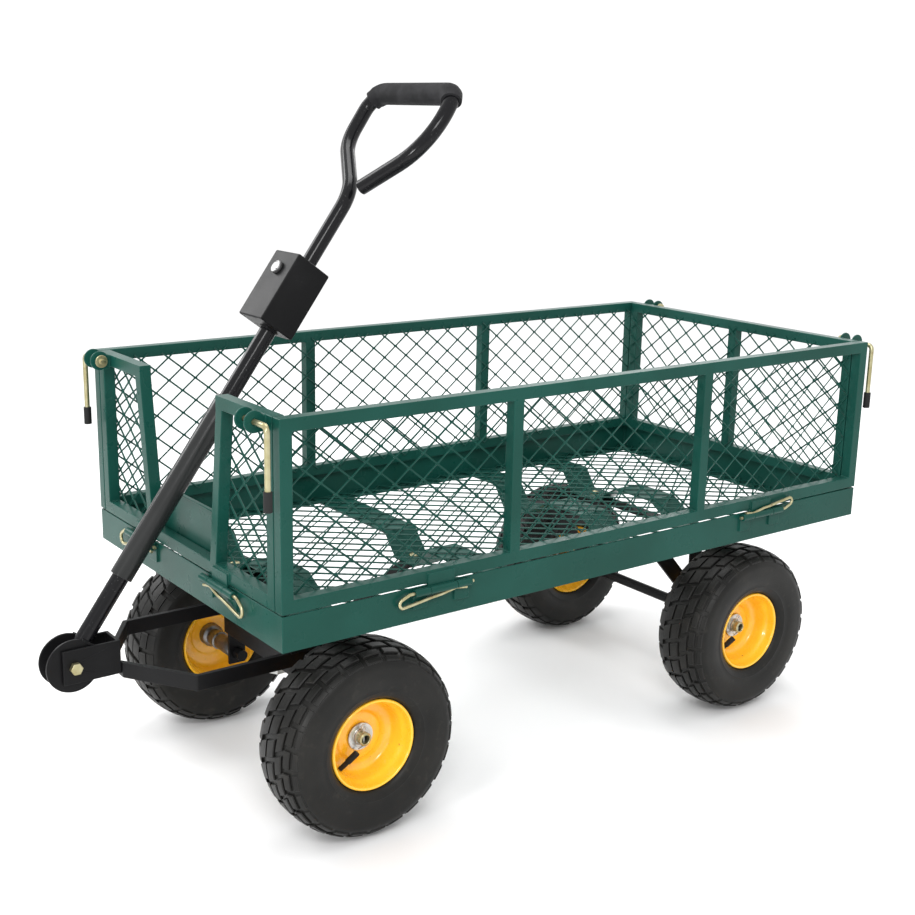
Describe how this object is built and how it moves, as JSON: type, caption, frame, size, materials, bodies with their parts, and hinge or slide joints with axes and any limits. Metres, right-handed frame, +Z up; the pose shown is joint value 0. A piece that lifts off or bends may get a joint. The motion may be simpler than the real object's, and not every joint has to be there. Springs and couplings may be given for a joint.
{
  "type": "tow behind cart",
  "caption": "Steel mesh garden wagon with fold-down sides, pneumatic tyres, a steering front axle and a pull handle with a tow hitch box.",
  "frame": {"origin": "on the ground under the middle of the whole cart's box, with the handle leaning back at rest", "axes": "+X forwards to the tongue, +Y to the cart's left, +Z up"},
  "size_m": [1.236, 0.542, 0.924],
  "materials": {
    "green_coat": "semi-gloss powder coat",
    "black_coat": "satin powder coat",
    "black_gloss": "gloss paint",
    "foam": "matt foam",
    "zinc": "bright zinc",
    "gold_zinc": "yellow zinc",
    "rubber_cap": "matt",
    "tyre": "matt rubber",
    "rim_yellow": "gloss enamel"
  },
  "bodies": {
    "bed": {"bed_frame": "green_coat", "floor_mesh": "green_coat", "floor_straps": "green_coat", "front_carrier": "black_coat", "kingpin": "zinc", "handle_rest": "green_coat", "rear_brackets": "black_coat", "rear_struts": "black_coat", "rear_axle": "black_coat", "hinge_clips": "gold_zinc"},
    "front_axle": {"turntable": "black_coat", "front_beam": "black_coat", "front_axle": "black_coat", "tongue_arms": "black_coat", "tongue_clevis": "black_coat", "tongue_bolt": "gold_zinc"},
    "handle": {"handle_foot": "black_coat", "handle_shaft": "black_gloss", "handle_sleeve": "foam", "hitch_box": "black_coat", "hitch_pin": "gold_zinc", "handle_loop": "black_gloss", "handle_grip": "foam"},
    "wheel_front_left": {"tyre_front_left": "tyre", "rim_front_left": "rim_yellow", "hub_front_left": "zinc", "valve_front_left": "rubber_cap"},
    "wheel_front_right": {"tyre_front_right": "tyre", "rim_front_right": "rim_yellow", "hub_front_right": "zinc", "valve_front_right": "rubber_cap"},
    "wheel_rear_left": {"tyre_rear_left": "tyre", "rim_rear_left": "rim_yellow", "hub_rear_left": "zinc", "valve_rear_left": "rubber_cap"},
    "wheel_rear_right": {"tyre_rear_right": "tyre", "rim_rear_right": "rim_yellow", "hub_rear_right": "zinc", "valve_rear_right": "rubber_cap"},
    "left_side": {"left_side_frame": "green_coat", "left_side_mesh": "green_coat", "left_side_clip": "gold_zinc"},
    "right_side": {"right_side_frame": "green_coat", "right_side_mesh": "green_coat", "right_side_clip": "gold_zinc"},
    "front_gate": {"front_gate_frame": "green_coat", "front_gate_mesh": "green_coat"},
    "rear_gate": {"rear_gate_frame": "green_coat", "rear_gate_mesh": "green_coat"},
    "latch_front_left": {"latch_pin_front_left": "gold_zinc", "latch_tip_front_left": "rubber_cap"},
    "latch_front_right": {"latch_pin_front_right": "gold_zinc", "latch_tip_front_right": "rubber_cap"},
    "latch_rear_left": {"latch_pin_rear_left": "gold_zinc", "latch_tip_rear_left": "rubber_cap"},
    "latch_rear_right": {"latch_pin_rear_right": "gold_zinc", "latch_tip_rear_right": "rubber_cap"}
  },
  "joints": [
    {"name": "steer", "type": "hinge", "parent": "bed", "child": "front_axle", "pos_m": [0.293, 0, 0.2], "axis": [0, 0, 1], "range_deg": [-25, 25]},
    {"name": "handle_tilt", "type": "hinge", "parent": "front_axle", "child": "handle", "pos_m": [0.584, 0, 0.221], "axis": [0, 1, 0], "range_deg": [0, 126]},
    {"name": "wheel_front_left_spin", "type": "hinge", "parent": "front_axle", "child": "wheel_front_left", "pos_m": [0.293, 0.204, 0.127], "axis": [0, 1, 0], "continuous": true},
    {"name": "wheel_front_right_spin", "type": "hinge", "parent": "front_axle", "child": "wheel_front_right", "pos_m": [0.293, -0.204, 0.127], "axis": [0, 1, 0], "continuous": true},
    {"name": "wheel_rear_left_spin", "type": "hinge", "parent": "bed", "child": "wheel_rear_left", "pos_m": [-0.392, 0.204, 0.127], "axis": [0, 1, 0], "continuous": true},
    {"name": "wheel_rear_right_spin", "type": "hinge", "parent": "bed", "child": "wheel_rear_right", "pos_m": [-0.392, -0.204, 0.127], "axis": [0, 1, 0], "continuous": true},
    {"name": "left_side_fold", "type": "hinge", "parent": "bed", "child": "left_side", "pos_m": [-0.08, 0.266, 0.325], "axis": [-1, 0, 0], "range_deg": [0, 170]},
    {"name": "right_side_fold", "type": "hinge", "parent": "bed", "child": "right_side", "pos_m": [-0.08, -0.266, 0.325], "axis": [1, 0, 0], "range_deg": [0, 170]},
    {"name": "front_gate_fold", "type": "hinge", "parent": "bed", "child": "front_gate", "pos_m": [0.437, 0, 0.325], "axis": [0, 1, 0], "range_deg": [0, 100]},
    {"name": "rear_gate_fold", "type": "hinge", "parent": "bed", "child": "rear_gate", "pos_m": [-0.597, 0, 0.325], "axis": [0, -1, 0], "range_deg": [0, 180]},
    {"name": "latch_front_left_turn", "type": "hinge", "parent": "front_gate", "child": "latch_front_left", "pos_m": [0.445, 0.225, 0.553], "axis": [0, -1, 0], "range_deg": [-4, 110]},
    {"name": "latch_front_right_turn", "type": "hinge", "parent": "front_gate", "child": "latch_front_right", "pos_m": [0.445, -0.225, 0.553], "axis": [0, -1, 0], "range_deg": [-4, 110]},
    {"name": "latch_rear_left_turn", "type": "hinge", "parent": "rear_gate", "child": "latch_rear_left", "pos_m": [-0.605, 0.225, 0.553], "axis": [0, 1, 0], "range_deg": [-4, 110]},
    {"name": "latch_rear_right_turn", "type": "hinge", "parent": "rear_gate", "child": "latch_rear_right", "pos_m": [-0.605, -0.225, 0.553], "axis": [0, 1, 0], "range_deg": [-4, 110]}
  ]
}
